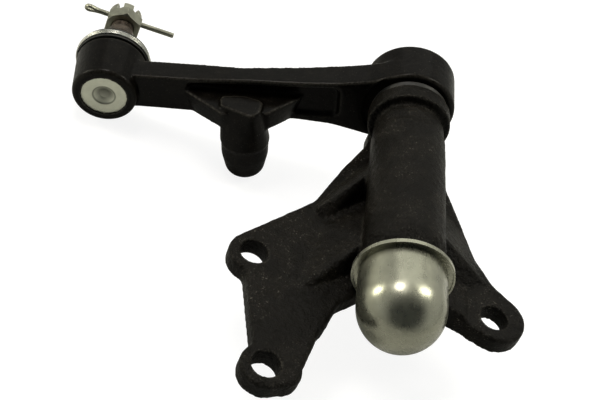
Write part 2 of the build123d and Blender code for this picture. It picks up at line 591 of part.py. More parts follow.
def preload_spring():
    """Dished spring washer between the plug and the front seat."""
    start = PLUG_BACK_Y
    end = PLUG_BACK_Y + 2 * SPRING_WIRE
    outer = HOUSING_BORE_RADIUS - 1.0
    inner = 6.0
    return turned([
        (inner, start), (inner + 1.0, start), (outer, end - SPRING_WIRE), (outer, end),
        (outer - 1.0, end), (inner, start + SPRING_WIRE)], BALL_X, 0, BALL_Z)


def ball_stud():
    """Ball stud: ball, waisted neck, taper seat, threaded end with the pin's hole."""
    small = TAPER_BIG_RADIUS - TAPER_LENGTH * TAPER_RATIO / 2
    taper_end = TAPER_START + TAPER_LENGTH
    edge = 1.0
    stem = turned([
        (0, 0), (NECK_RADIUS, 4.0), (NECK_RADIUS, TAPER_START - 2.0),
        (TAPER_BIG_RADIUS, TAPER_START), (small, taper_end),
        (STUD_THREAD_RADIUS, taper_end + 1.2), (STUD_THREAD_RADIUS, STUD_LENGTH - edge),
        (STUD_THREAD_RADIUS - edge, STUD_LENGTH), (0, STUD_LENGTH)], BALL_X, BALL_Y, BALL_Z)
    body = Pos(BALL_X, BALL_Y, BALL_Z) * Sphere(BALL_RADIUS) + stem
    hole = Rot(0, -NUT_TURN, 0) * Rot(0, 90, 0) * Cylinder(COTTER_RADIUS + PRESS_FIT, 30)
    return body - Pos(BALL_X, cotter_y(), BALL_Z) * hole


def cotter_y():
    """Centre of the stud's cotter pin along Y, just above the bottom of the nut's slots."""
    return BALL_Y + NUT_START + NUT_HEIGHT - NUT_SLOT_DEPTH + COTTER_RADIUS + 0.2


def boot():
    """Rubber boot: skirt on the housing's spigot, bulged middle and a narrow neck on the stud."""
    inner = HOUSING_SPIGOT_RADIUS + PRESS_FIT
    outer = inner + BOOT_WALL
    start = BOOT_FRONT_Y
    end = start + BOOT_LENGTH
    neck = BOOT_NECK_RADIUS + PRESS_FIT
    shoulder = start + BOOT_SKIRT_LENGTH + BOOT_BULGE_LENGTH / 2
    neck_y = end - BOOT_NECK_LENGTH
    outside = Spline((outer, start + BOOT_SKIRT_LENGTH), (outer - 0.9, shoulder),
                     (neck + BOOT_WALL + 2.6, shoulder + 4.6), (neck + BOOT_WALL, neck_y))
    inside = Spline((neck, neck_y), (neck + 2.0, shoulder + 3.4),
                    (inner - 1.4, shoulder - 0.6), (inner, start + BOOT_SKIRT_LENGTH))
    line = Polyline((inner, start + BOOT_SKIRT_LENGTH), (inner, start), (outer, start),
                    (outer, start + BOOT_SKIRT_LENGTH))
    rim = Polyline((neck + BOOT_WALL, neck_y), (neck + BOOT_WALL, end), (neck, end),
                   (neck, neck_y))
    return turned(line + outside + rim + inside, BALL_X, 0, BALL_Z)


def wire_ring(radius, middle_y, turns):
    """Ring of close wire turns lying against each other, about the ball joint's axis."""
    pitch = 0.9 * RING_WIRE
    first = middle_y - pitch * (turns - 1) / 2
    section = Sketch()
    for turn in range(turns):
        section += Pos(radius + RING_WIRE / 2, first + turn * pitch) * Circle(RING_WIRE / 2)
    return Pos(BALL_X, 0, BALL_Z) * revolve(section, Axis.Y)


def boot_large_ring():
    """Wire ring round the boot's skirt."""
    radius = HOUSING_SPIGOT_RADIUS + PRESS_FIT + BOOT_WALL
    return wire_ring(radius, BOOT_FRONT_Y + BOOT_SKIRT_LENGTH / 2, LARGE_RING_TURNS)


def boot_small_ring():
    """Wire ring round the boot's neck."""
    radius = BOOT_NECK_RADIUS + PRESS_FIT + BOOT_WALL
    middle = BOOT_FRONT_Y + BOOT_LENGTH - BOOT_NECK_LENGTH / 2
    return wire_ring(radius, middle, SMALL_RING_TURNS)


def thrust_washer():
    """Washer clamped between the shaft's shoulder and the front nut."""
    return turned([
        (SHAFT_THREAD_RADIUS + PRESS_FIT, WASHER_FRONT_Y), (THRUST_WASHER_RADIUS, WASHER_FRONT_Y),
        (THRUST_WASHER_RADIUS, WASHER_BACK_Y), (SHAFT_THREAD_RADIUS + PRESS_FIT, WASHER_BACK_Y)])


def shaft_nut():
    """Castle nut on the shaft's front end, under the cap."""
    nut = castle_nut(SHAFT_NUT_FLATS, SHAFT_NUT_HEIGHT, SHAFT_THREAD_RADIUS + PRESS_FIT,
                     SHAFT_NUT_SLOT_DEPTH, 2 * SHAFT_PIN_RADIUS + 0.6)
    return Pos(0, WASHER_FRONT_Y, AXIS_HEIGHT) * Rot(90, 0, 0) * nut


def shaft_cotter_pin():
    """Split pin through the front nut's slots."""
    y = WASHER_FRONT_Y - SHAFT_NUT_HEIGHT + SHAFT_NUT_SLOT_DEPTH / 2
    pin = cotter_pin(SHAFT_PIN_RADIUS, SHAFT_PIN_REACH, SHAFT_PIN_REACH, SHAFT_PIN_EYE_RADIUS)
    return Pos(0, y, AXIS_HEIGHT) * Rot(90, 0, 0) * pin


def stud_nut():
    """Castle nut on the ball stud."""
    nut = castle_nut(NUT_FLATS, NUT_HEIGHT, STUD_THREAD_RADIUS + PRESS_FIT, NUT_SLOT_DEPTH,
                     NUT_SLOT_WIDTH)
    return Pos(BALL_X, BALL_Y + NUT_START, BALL_Z) * Rot(0, -NUT_TURN, 0) * Rot(-90, 0, 0) * nut


def stud_cotter_pin():
    """Split pin through the stud's nut, its eye on the side away from the bracket."""
    pin = cotter_pin(COTTER_RADIUS, COTTER_REACH, COTTER_HEAD_REACH + COTTER_EYE_RADIUS,
                     COTTER_EYE_RADIUS)
    return Pos(BALL_X, cotter_y(), BALL_Z) * Rot(0, -NUT_TURN, 0) * pin


NODES = {
    "bracket": bracket,
    "cap_side_bush": lambda: bush(SPIGOT_FRONT_Y, 1),
    "arm_side_bush": lambda: bush(HEAD_BACK_Y, -1),
    "dust_seal": dust_seal,
    "dust_cap": dust_cap,
    "idler_arm": idler_arm,
    "idler_shaft": idler_shaft,
    "thrust_washer": thrust_washer,
    "shaft_nut": shaft_nut,
    "shaft_cotter_pin": shaft_cotter_pin,
    "end_plug": end_plug,
    "preload_spring": preload_spring,
    "front_ball_seat": lambda: ball_seat(True),
    "rear_ball_seat": lambda: ball_seat(False),
    "dust_boot": boot,
    "boot_large_ring": boot_large_ring,
    "boot_small_ring": boot_small_ring,
    "ball_stud": ball_stud,
    "stud_nut": stud_nut,
    "stud_cotter_pin": stud_cotter_pin,
}

os.makedirs("parts", exist_ok=True)
for name, make in NODES.items():
    export_step(make(), "parts/" + name + ".step")
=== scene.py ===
"""Looks of a steering idler arm: painted casting and forging, zinc plated small parts, rubber boot.

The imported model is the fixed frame. Sizes are in metres unless their name or description says
millimetres, and the places of the part's forms are worked out from the frame's own nodes.
"""

import json
import math

import bmesh
import bpy
import numpy as np
from bpy.props import FloatProperty, FloatVectorProperty, IntProperty, PointerProperty
from mathutils import Euler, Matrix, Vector, noise


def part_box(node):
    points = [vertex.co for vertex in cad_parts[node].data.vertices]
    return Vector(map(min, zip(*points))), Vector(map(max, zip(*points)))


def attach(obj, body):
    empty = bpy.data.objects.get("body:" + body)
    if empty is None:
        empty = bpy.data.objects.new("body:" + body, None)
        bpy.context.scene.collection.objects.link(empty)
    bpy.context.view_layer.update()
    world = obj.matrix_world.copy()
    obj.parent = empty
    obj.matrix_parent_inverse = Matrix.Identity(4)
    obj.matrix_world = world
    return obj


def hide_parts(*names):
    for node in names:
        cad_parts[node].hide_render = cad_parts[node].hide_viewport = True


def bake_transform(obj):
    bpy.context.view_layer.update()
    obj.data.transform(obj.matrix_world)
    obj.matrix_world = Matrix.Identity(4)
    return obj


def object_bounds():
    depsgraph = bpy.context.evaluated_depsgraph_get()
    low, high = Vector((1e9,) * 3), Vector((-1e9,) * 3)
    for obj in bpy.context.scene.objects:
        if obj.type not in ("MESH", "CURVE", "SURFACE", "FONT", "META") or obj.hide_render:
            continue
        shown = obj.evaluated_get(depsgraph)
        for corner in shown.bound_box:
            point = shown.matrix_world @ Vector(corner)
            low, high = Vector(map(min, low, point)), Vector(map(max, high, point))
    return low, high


bl_info = {
    "name": "Steering idler arm looks",
    "version": (1, 0, 0),
    "blender": (4, 5, 0),
    "location": "3D View > Sidebar > Idler arm",
    "description": "Dresses the packed idler arm and sets its stage",
    "category": "Object",
}

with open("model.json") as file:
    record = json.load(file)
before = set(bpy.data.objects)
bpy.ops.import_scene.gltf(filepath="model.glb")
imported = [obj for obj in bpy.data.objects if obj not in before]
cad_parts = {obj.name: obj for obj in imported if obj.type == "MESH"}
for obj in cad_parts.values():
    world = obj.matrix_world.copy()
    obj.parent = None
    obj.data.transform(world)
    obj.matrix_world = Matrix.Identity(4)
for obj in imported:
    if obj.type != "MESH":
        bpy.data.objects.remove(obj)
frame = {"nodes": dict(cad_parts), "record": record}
CAD_LOW, CAD_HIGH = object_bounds()

MM = 0.001

# Bracket: its turned rear end, and the rounded front end of its tube
TURNED_LENGTH = 24 * MM
TURNED_FOOT = 15 * MM                   # the turned end reaches this far below the shaft's axis
TUBE_RADIUS = 20.9 * MM
TUBE_SKIN = (16.8 * MM, 24.5 * MM)      # radii between which the tube's skin is moved
TUBE_END_RADIUS = 17 * MM               # least radius of the rounded end
TUBE_END_LENGTH = 17 * MM
TUBE_END_BEND = 6 * MM                  # length over which the slope grows
TUBE_END_DROP = 0.36                    # slope in front of the bend
CAP_FACE = 0.9 * MM                     # left as it is behind the cap's rim
HOLE_WALL = 0.6 * MM                    # skin this close to a bolt hole's wall is put back on it

# Arm: radii round its two axes, within which it stays crisp
HOUSING_REACH = 21 * MM
EYE_REACH = 16 * MM

# Joint: the plug's dish, the boot and its ring, the stud's thread and its pin
DISH_RADIUS = 6.2 * MM
BOOT_SKIRT = 6.2 * MM                   # height of the skirt, which keeps its form
BOOT_NECK = 3.5 * MM                    # height of the neck, which keeps its form
BOOT_RADII = (20.0 * MM, 12.0 * MM)     # outside of the cone at its skirt and at its neck
BOOT_WALL = 1.5 * MM
RING_PITCH = 2.5                        # from turn to turn, in radii of the wire
RING_PLAY = 0.05 * MM                   # between the coil and the outline of the solid ring
RING_START = -0.1                       # angle of the first turn's start
RING_STEPS = 72                         # steps in each turn
RING_END_STEPS = 4                      # steps in each free end
RING_END_LIFT = 0.10 * MM               # how far each of those steps stands out
THREAD_RADIUS = 6.45 * MM
THREAD_SHOWN = 5.2 * MM                 # thread between the boot and the nut
THREAD_IN_NUT = 1.0 * MM
PIN_THICK = 0.70 * MM                   # half the oval wire's short side
PIN_WIDE = 1.30 * MM                    # half its long side
PIN_LEG = 0.76 * MM                     # from the pin's middle to the middle of each leg
PIN_LOOP = 2.5 * MM                     # radius of the pin's eye
PIN_LEG_REACH = 20 * MM                 # from the stud's axis, beyond which only legs are left

# Stage
FLOOR_RADIUS = 40.0
FLOOR_SHADE = 0.22                      # the part of the floor's white that shadows take away
FLOOR_GLOW = 0.86                       # the part that stays


# Places read from the frame

def centre_line(node):
    """X and Z of the line along Y through the middle of a turned node."""
    low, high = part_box(node)
    return (low.x + high.x) / 2, (low.z + high.z) / 2


SHAFT_X, SHAFT_Z = centre_line("dust_cap")
JOINT_X, JOINT_Z = centre_line("end_plug")
SHOULDER_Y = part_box("dust_cap")[1].y
BOLT_HOLES = [mount for mount in frame["record"]["mounts"] if mount["name"].startswith("hole_")]


# Sizes and colours that a user would change

class PaintLook(bpy.types.PropertyGroup):
    """Black paint over the casting and the forging."""
    cast: FloatVectorProperty(
        name="Cast paint", description="Colour of the paint on the bracket", subtype="COLOR",
        default=(0.0033, 0.0028, 0.0021), size=3, min=0, max=1)
    forged: FloatVectorProperty(
        name="Forged paint", description="Colour of the paint on the arm", subtype="COLOR",
        default=(0.0014, 0.0011, 0.0008), size=3, min=0, max=1)
    dusty: FloatVectorProperty(
        name="Grain tops", description="Colour of the paint on the tops of the grain",
        subtype="COLOR", default=(0.017, 0.0145, 0.011), size=3, min=0, max=1)
    # Colour of the painted highlights: put on the paint's edges as painted edge highlights and on
    # its specks as painted glints
    wear_and_highlight: FloatVectorProperty(
        name="Painted highlights", description="Colour painted as edge highlights and glints on the paint",
        subtype="COLOR", default=(0.140, 0.130, 0.110), size=3, min=0, max=1)
    gloss: FloatProperty(
        name="Gloss", description="Weight of the paint's clear coat", default=0.115, min=0, max=1)
    grain: FloatProperty(
        name="Cast grain", description="Width of one grain of the sand cast skin",
        default=1.0 * MM, unit="LENGTH")
    relief: FloatProperty(
        name="Cast relief", description="Height of the waves in the sand cast skin",
        default=0.20 * MM, unit="LENGTH")
    drips: FloatProperty(
        name="Paint drips", description="Height of the lumps on the tube's front end",
        default=0.45 * MM, unit="LENGTH")
    forged_relief: FloatProperty(
        name="Forged relief", description="Height of the waves in the forged skin",
        default=0.06 * MM, unit="LENGTH")
    casting_grid: FloatProperty(
        name="Casting grid", description="Spacing of the mesh over the bracket",
        default=0.85 * MM, unit="LENGTH")
    forging_grid: FloatProperty(
        name="Forging grid", description="Spacing of the mesh over the arm",
        default=0.72 * MM, unit="LENGTH")
    casting_passes: IntProperty(
        name="Casting softness", description="Smoothing passes over the bracket", default=4)
    forging_passes: IntProperty(
        name="Forging softness", description="Smoothing passes over the arm", default=4)


class MetalLook(bpy.types.PropertyGroup):
    """Zinc plate and bare steel."""
    cap: FloatVectorProperty(
        name="Cap zinc", description="Colour of the dust cap", subtype="COLOR",
        default=(0.215, 0.215, 0.170), size=3, min=0, max=1)
    hardware: FloatVectorProperty(
        name="Nut and pin zinc", description="Colour of the nut and pins", subtype="COLOR",
        default=(0.24, 0.24, 0.19), size=3, min=0, max=1)
    plug: FloatVectorProperty(
        name="Plug zinc", description="Colour of the end plug", subtype="COLOR",
        default=(0.42, 0.43, 0.36), size=3, min=0, max=1)
    stud: FloatVectorProperty(
        name="Stud steel", description="Colour of the stud, the spring and the neck ring",
        subtype="COLOR", default=(0.040, 0.032, 0.025), size=3, min=0, max=1)
    wire: FloatVectorProperty(
        name="Ring wire", description="Colour of the wire round the boot's skirt",
        subtype="COLOR", default=(0.42, 0.42, 0.38), size=3, min=0, max=1)
    thread_pitch: FloatProperty(
        name="Thread pitch", description="Pitch of the stud's thread", default=1.25 * MM,
        unit="LENGTH")
    thread_depth: FloatProperty(
        name="Thread depth", description="Depth of the stud's thread", default=0.7 * MM,
        unit="LENGTH")
    pin_roll: FloatProperty(
        name="Pin roll", description="How far the split pin is rolled about its axis",
        subtype="ANGLE", default=math.radians(25))
    ring_turns: IntProperty(
        name="Ring turns", description="Turns of the wire round the boot's skirt", default=3)
    ring_wire: FloatProperty(
        name="Ring wire radius", description="Radius of the wire round the boot's skirt",
        default=0.42 * MM, unit="LENGTH")


class RubberLook(bpy.types.PropertyGroup):
    """Boot and seal."""
    colour: FloatVectorProperty(
        name="Rubber", description="Colour of the rubber", subtype="COLOR",
        default=(0.010, 0.010, 0.009), size=3, min=0, max=1)


class StageLook(bpy.types.PropertyGroup):
    """Camera, lamps and floor."""
    camera_place: FloatVectorProperty(
        name="Camera place", description="Where the camera stands", subtype="TRANSLATION",
        unit="LENGTH", default=(-0.159804, -0.462484, 0.507489), size=3)
    camera_turn: FloatVectorProperty(
        name="Camera turn", description="How the camera is turned", subtype="EULER",
        default=(math.radians(43.660), math.radians(-16.751), math.radians(4.754)), size=3)
    lens: FloatProperty(name="Lens", description="Focal length in millimetres", default=83.994)
    window_distance: FloatProperty(
        name="Window distance", description="From the part's middle to each window", default=1.0,
        unit="LENGTH")
    window_glow: FloatProperty(
        name="Window brightness", description="Brightness of the windows, where 1 is white",
        default=15.0)
    ceiling_glow: FloatProperty(
        name="Ceiling brightness", description="Brightness of the ceiling panel, where 1 is white",
        default=0.75)
    floor_colour: FloatVectorProperty(
        name="Floor", description="Colour of the floor", subtype="COLOR",
        default=(0.66, 0.66, 0.64), size=3, min=0, max=1)


# Node helpers

class Finish:
    """A material under construction: its node tree and its surface shader."""

    def __init__(self, name, **sockets):
        self.material = bpy.data.materials.new(name)
        self.material.use_nodes = True
        self.tree = self.material.node_tree
        self.tree.nodes.clear()
        self.output = self.tree.nodes.new("ShaderNodeOutputMaterial")
        self.shader = self.tree.nodes.new("ShaderNodeBsdfPrincipled")
        self.tree.links.new(self.shader.outputs[0], self.output.inputs["Surface"])
        self.place = self.tree.nodes.new("ShaderNodeTexCoord").outputs["Object"]
        for socket, value in sockets.items():
            self.shader.inputs[socket.replace("_", " ")].default_value = value

    def link(self, value, socket):
        """Plugs an output into a socket, or writes a plain number or colour there."""
        if isinstance(value, bpy.types.NodeSocket):
            self.tree.links.new(value, socket)
        else:
            socket.default_value = value

    def noise(self, size, detail=2.0, roughness=0.5, place=None):
        """Cloudy noise with grains of the given width."""
        node = self.tree.nodes.new("ShaderNodeTexNoise")
        self.link(place or self.place, node.inputs["Vector"])
        node.inputs["Scale"].default_value = 1 / size
        node.inputs["Detail"].default_value = detail
        node.inputs["Roughness"].default_value = roughness
        return node.outputs[0]

    def cells(self, size):
        """Distance to the nearest of scattered points, for scale marks."""
        node = self.tree.nodes.new("ShaderNodeTexVoronoi")
        self.link(self.place, node.inputs["Vector"])
        node.inputs["Scale"].default_value = 1 / size
        return node.outputs["Distance"]

    def stretched(self, x, y, z):
        """The place, scaled along each axis, for streaks."""
        node = self.tree.nodes.new("ShaderNodeMapping")
        self.link(self.place, node.inputs["Vector"])
        node.inputs["Scale"].default_value = (x, y, z)
        return node.outputs[0]

    def levels(self, value, low, high, to_low=0.0, to_high=1.0):
        """Stretches the range low to high over to_low to to_high, and clips."""
        node = self.tree.nodes.new("ShaderNodeMapRange")
        self.link(value, node.inputs[0])
        for index, number in enumerate((low, high, to_low, to_high), start=1):
            node.inputs[index].default_value = number
        return node.outputs[0]

    def maths(self, operation, first, second=0.0):
        """One arithmetic step."""
        node = self.tree.nodes.new("ShaderNodeMath")
        node.operation = operation
        self.link(first, node.inputs[0])
        self.link(second, node.inputs[1])
        return node.outputs[0]

    def times(self, first, second):
        """Both multiplied."""
        return self.maths("MULTIPLY", first, second)

    def blend(self, share, first, second):
        """Colour between first and second."""
        node = self.tree.nodes.new("ShaderNodeMix")
        node.data_type = "RGBA"
        self.link(share, node.inputs[0])
        for value, socket in ((first, node.inputs[6]), (second, node.inputs[7])):
            plain = not isinstance(value, bpy.types.NodeSocket)
            self.link((*value, 1) if plain else value, socket)
        return node.outputs[2]

    def edges(self, radius):
        """1 on outer and inner edges, 0 on flats, from rounded against true normals."""
        bevel = self.tree.nodes.new("ShaderNodeBevel")
        bevel.samples = 4
        bevel.inputs["Radius"].default_value = radius
        true = self.tree.nodes.new("ShaderNodeNewGeometry").outputs["True Normal"]
        dot = self.tree.nodes.new("ShaderNodeVectorMath")
        dot.operation = "DOT_PRODUCT"
        self.link(bevel.outputs[0], dot.inputs[0])
        self.link(true, dot.inputs[1])
        return self.levels(dot.outputs["Value"], 0.995, 0.80)

    def edge_wear_and_highlight(self, colour, radius, share, bare):
        """The colour, blended to a bare one on the edges by a share: edge wear, and on plated
        hardware a painted highlight.
        """
        return self.blend(self.times(self.edges(radius), share), colour, bare)

    def crests(self, low=0.51, high=0.56):
        """1 on outward edges of a dense mesh, or on its hollows where low is above high."""
        return self.levels(
            self.tree.nodes.new("ShaderNodeNewGeometry").outputs["Pointiness"], low, high)

    def bump(self, height, depth, under=None, rounding=0.0):
        """Adds a bump of the given depth in metres to the surface."""
        node = self.tree.nodes.new("ShaderNodeBump")
        node.inputs["Distance"].default_value = depth
        self.link(height, node.inputs["Height"])
        if under is not None:
            self.link(under, node.inputs["Normal"])
        elif rounding:
            bevel = self.tree.nodes.new("ShaderNodeBevel")
            bevel.samples = 4
            bevel.inputs["Radius"].default_value = rounding
            self.link(bevel.outputs[0], node.inputs["Normal"])
        return node.outputs[0]

    def finish(self, colour, roughness, normal):
        """Plugs colour, roughness and normal into the shader and returns the material."""
        self.link(colour, self.shader.inputs["Base Color"])
        self.link(roughness, self.shader.inputs["Roughness"])
        self.link(normal, self.shader.inputs["Normal"])
        return self.material


# Finishes

def cast_paint(look):
    """Glossy black paint over a sand cast skin: pebbly, with lighter grain tops, painted glints and
    painted edge highlights.
    """
    f = Finish("cast_black_paint", Specular_IOR_Level=0.01, Coat_Weight=look.gloss,
               Coat_Roughness=0.20)
    pebbles = f.noise(look.grain, 3.0, 0.6)
    lumps = f.noise(3.0 * look.grain, 2.0, 0.5)
    specks = f.noise(0.8 * look.grain, 1.0, 0.5)
    broad = f.noise(15 * MM, 3.0)
    crests = f.crests(0.525, 0.575)
    hollows = f.crests(0.490, 0.462)
    patches = f.levels(broad, 0.44, 0.62, 0.06, 0.65)
    tops = f.levels(pebbles, 0.46, 0.64)
    # Painted glints: light specks where the lumps meet broad patches, crests and hollows
    near_edge = f.maths("MAXIMUM", patches, f.maths("MAXIMUM", crests, hollows))
    glints = f.times(f.levels(specks, 0.62, 0.72), f.levels(lumps, 0.44, 0.60))
    # Painted edge highlight on the crests, and painted glints along the hollows
    edges = f.maths("MAXIMUM", crests, f.times(hollows, 0.7))
    wear_and_highlight = f.times(edges, f.levels(pebbles, 0.40, 0.62))
    colour = f.blend(f.times(tops, patches), look.cast, look.dusty)
    # Painted glints, then painted edge highlights, in the colour of the painted highlights
    colour = f.blend(f.times(glints, near_edge), colour, look.wear_and_highlight)
    colour = f.blend(f.times(wear_and_highlight, 0.32), colour, look.wear_and_highlight)
    normal = f.bump(pebbles, 0.7 * MM, f.bump(lumps, 1.2 * MM))
    f.link(normal, f.shader.inputs["Coat Normal"])
    return f.finish(colour, f.levels(pebbles, 0.35, 0.65, 0.35, 0.55), normal)


def forged_paint(look):
    """Glossy black paint over a forged skin: smoother, with faint scale marks, painted edge
    highlights and painted glints.
    """
    f = Finish("forged_black_paint", Specular_IOR_Level=0.02, Coat_Weight=0.75 * look.gloss,
               Coat_Roughness=0.16)
    skin = f.noise(1.1 * MM, 2.0)
    scale = f.levels(f.cells(4.5 * MM), 0.1, 0.5)
    specks = f.levels(f.noise(0.8 * MM, 1.0), 0.68, 0.76)
    # Painted edge highlight on the crests, broken by the skin
    wear_and_highlight = f.times(f.crests(), f.levels(skin, 0.30, 0.55))
    dust = f.levels(f.noise(6 * MM, 4.0, 0.65), 0.45, 0.75)
    colour = f.blend(f.times(dust, 0.18), look.forged, look.dusty)
    colour = f.blend(f.times(wear_and_highlight, 0.30), colour, look.wear_and_highlight)
    # Painted glints: sparse specks in the colour of the painted highlights
    colour = f.blend(f.times(specks, 0.12), colour, look.wear_and_highlight)
    normal = f.bump(skin, 0.08 * MM, f.bump(scale, 0.06 * MM))
    f.link(normal, f.shader.inputs["Coat Normal"])
    return f.finish(colour, f.levels(skin, 0.3, 0.7, 0.3, 0.5), normal)


def drawn_zinc(look):
    """Zinc plated cap, with faint draw marks along it and cloudy passivation."""
    f = Finish("drawn_zinc", Metallic=0.92, Specular_IOR_Level=0.2)
    streaks = f.noise(2.2 * MM, 3.0, 0.6, f.stretched(1, 0.08, 1))
    clouds = f.noise(11 * MM, 4.0, 0.6)
    light = tuple(min(1.0, 1.25 * c) for c in look.cap)
    wear_and_highlight = (0.62, 0.61, 0.52)
    colour = f.blend(f.levels(clouds, 0.35, 0.7), look.cap, light)
    colour = f.edge_wear_and_highlight(colour, 0.5 * MM, 0.5, wear_and_highlight)
    both = f.maths("ADD", f.times(streaks, 0.5), f.times(clouds, 0.5))
    roughness = f.levels(both, 0.35, 0.65, 0.22, 0.34)
    normal = f.bump(streaks, 0.02 * MM, f.bump(clouds, 0.10 * MM))
    return f.finish(colour, roughness, normal)


def dished_zinc(look):
    """Plug zinc with painted shade: a dark ring in the crease round its dish, and the dish darker
    inside, most in its upper half.
    """
    f = Finish("plug_zinc", Metallic=1.0)
    split = f.tree.nodes.new("ShaderNodeSeparateXYZ")
    f.link(f.place, split.inputs[0])
    across = f.maths("SUBTRACT", split.outputs[0], JOINT_X)
    above = f.maths("SUBTRACT", split.outputs[2], JOINT_Z)
    reach = f.maths("SQRT", f.maths("ADD", f.times(across, across), f.times(above, above)))
    clouds = f.noise(4 * MM, 3.0)
    grain = f.noise(0.7 * MM, 3.0, 0.6)
    from_rim = f.maths("ABSOLUTE", f.maths("SUBTRACT", reach, DISH_RADIUS))
    # Painted shade: a dark ring at the dish's rim, the dish's inside, and more of it in the dish's
    # upper half
    rim = f.levels(from_rim, 0.7 * MM, 0.1 * MM)
    inside = f.levels(reach, DISH_RADIUS - 0.2 * MM, DISH_RADIUS - 3.2 * MM)
    shade = f.times(inside, f.levels(above, -2.5 * MM, 2.5 * MM))
    # Colour of the painted shade
    dark = tuple(0.14 * c for c in look.plug)
    dull = tuple(0.9 * c for c in look.plug)
    wear_and_highlight = (0.6, 0.6, 0.54)
    colour = f.blend(f.levels(clouds, 0.35, 0.65), dull, look.plug)
    # Painted shade in the dish and round its rim
    colour = f.blend(f.times(inside, 0.60), colour, dark)
    colour = f.blend(f.times(shade, 0.75), colour, dark)
    colour = f.blend(f.times(rim, 0.7), colour, dark)
    colour = f.edge_wear_and_highlight(colour, 0.4 * MM, 0.3, wear_and_highlight)
    return f.finish(colour, f.levels(grain, 0.3, 0.7, 0.38, 0.52), f.bump(grain, 0.03 * MM))


def plated(name, shade):
    """Dull plate on small hardware, with a painted highlight on its edges."""
    f = Finish(name, Metallic=1.0)
    grain = f.noise(0.9 * MM, 3.0, 0.6)
    clouds = f.noise(4 * MM, 3.0)
    bright = tuple(min(1.0, 1.9 * c) for c in shade)
    dark = tuple(0.7 * c for c in shade)
    colour = f.blend(f.levels(clouds, 0.35, 0.65), dark, shade)
    # Painted highlight on the edges, in a colour brighter than the plate
    colour = f.edge_wear_and_highlight(colour, 0.4 * MM, 0.7, bright)
    roughness = f.levels(grain, 0.3, 0.7, 0.30, 0.46)
    return f.finish(colour, roughness, f.bump(grain, 0.03 * MM, rounding=0.25 * MM))


def bright_wire(look):
    """Bright drawn wire, duller in cloudy patches, with a painted highlight on its crests."""
    f = Finish("bright_wire", Metallic=1.0)
    clouds = f.noise(5 * MM, 2.0)
    dull = tuple(0.75 * c for c in look.wire)
    wear_and_highlight = (0.70, 0.70, 0.64)
    colour = f.blend(f.levels(clouds, 0.35, 0.65), dull, look.wire)
    # Painted highlight on the wire's crests
    colour = f.blend(f.times(f.crests(), 0.4), colour, wear_and_highlight)
    return f.finish(colour, f.levels(clouds, 0.3, 0.7, 0.24, 0.34), f.bump(clouds, 0.02 * MM))


def dark_steel(look):
    """Bare stud steel: brown grey with oil stain and faint turning marks."""
    f = Finish("dark_stud_steel", Metallic=0.85)
    rings = f.noise(0.35 * MM, 2.0, 0.5, f.stretched(0.15, 1, 0.15))
    stain = f.noise(2.6 * MM, 4.0, 0.6)
    light = tuple(2.6 * c for c in look.stud)
    colour = f.blend(f.levels(stain, 0.4, 0.68), look.stud, light)
    roughness = f.levels(stain, 0.3, 0.7, 0.32, 0.55)
    return f.finish(colour, roughness, f.bump(rings, 0.02 * MM, rounding=0.2 * MM))


def ground_steel():
    """Ground and turned steel inside the bracket."""
    f = Finish("ground_steel", Metallic=1.0)
    rings = f.noise(0.4 * MM, 2.0, 0.5, f.stretched(0.1, 1, 0.1))
    clouds = f.noise(7 * MM)
    dull, clean, wear_and_highlight = (0.36, 0.36, 0.35), (0.46, 0.46, 0.44), (0.62, 0.61, 0.58)
    colour = f.blend(f.levels(clouds, 0.3, 0.7), dull, clean)
    colour = f.edge_wear_and_highlight(colour, 0.4 * MM, 0.5, wear_and_highlight)
    return f.finish(colour, f.levels(rings, 0.3, 0.7, 0.22, 0.36), f.bump(rings, 0.01 * MM))


def sintered_bronze():
    """Oil filled bush material."""
    f = Finish("bush_bronze", Metallic=1.0)
    pores = f.noise(0.5 * MM, 3.0, 0.7)
    clouds = f.noise(6 * MM)
    oily, dry, wear_and_highlight = (0.30, 0.20, 0.11), (0.42, 0.29, 0.16), (0.60, 0.46, 0.28)
    colour = f.blend(f.levels(clouds, 0.3, 0.7), oily, dry)
    colour = f.edge_wear_and_highlight(colour, 0.4 * MM, 0.5, wear_and_highlight)
    return f.finish(colour, f.levels(pores, 0.3, 0.7, 0.35, 0.55), f.bump(pores, 0.02 * MM))


def black_rubber(name, look):
    """Moulded rubber with a soft bloom and scuffed, lighter rims."""
    f = Finish(name, Specular_IOR_Level=0.3)
    skin = f.noise(0.8 * MM, 3.0)
    bloom = f.noise(5 * MM, 4.0, 0.6)
    bloomed, wear_and_highlight = (0.024, 0.023, 0.020), (0.05, 0.048, 0.042)
    colour = f.blend(f.levels(bloom, 0.45, 0.75), look.colour, bloomed)
    colour = f.edge_wear_and_highlight(colour, 0.5 * MM, 0.4, wear_and_highlight)
    return f.finish(colour, f.levels(skin, 0.3, 0.7, 0.42, 0.62), f.bump(skin, 0.05 * MM))


def seat_plastic():
    """Pale moulded bearing plastic."""
    f = Finish("seat_plastic")
    skin = f.noise(0.9 * MM)
    clouds = f.noise(5 * MM)
    greased, clean, wear_and_highlight = (0.62, 0.60, 0.52), (0.72, 0.70, 0.62), (0.80, 0.78, 0.72)
    colour = f.blend(f.levels(clouds, 0.3, 0.7), greased, clean)
    colour = f.edge_wear_and_highlight(colour, 0.4 * MM, 0.4, wear_and_highlight)
    return f.finish(colour, f.levels(skin, 0.3, 0.7, 0.38, 0.5), f.bump(skin, 0.03 * MM))


# Mesh helpers

def add_piece(name, mesh, material, body, stands_for=()):
    """Links a mesh into the scene with its material and the body it rides on."""
    piece = bpy.data.objects.new(name, mesh)
    bpy.context.scene.collection.objects.link(piece)
    mesh.materials.clear()
    mesh.materials.append(material)
    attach(piece, body)
    if stands_for:
        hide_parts(*stands_for)


def dress(node, material):
    """Gives a CAD node its finish."""
    mesh = frame["nodes"][node].data
    mesh.materials.clear()
    mesh.materials.append(material)


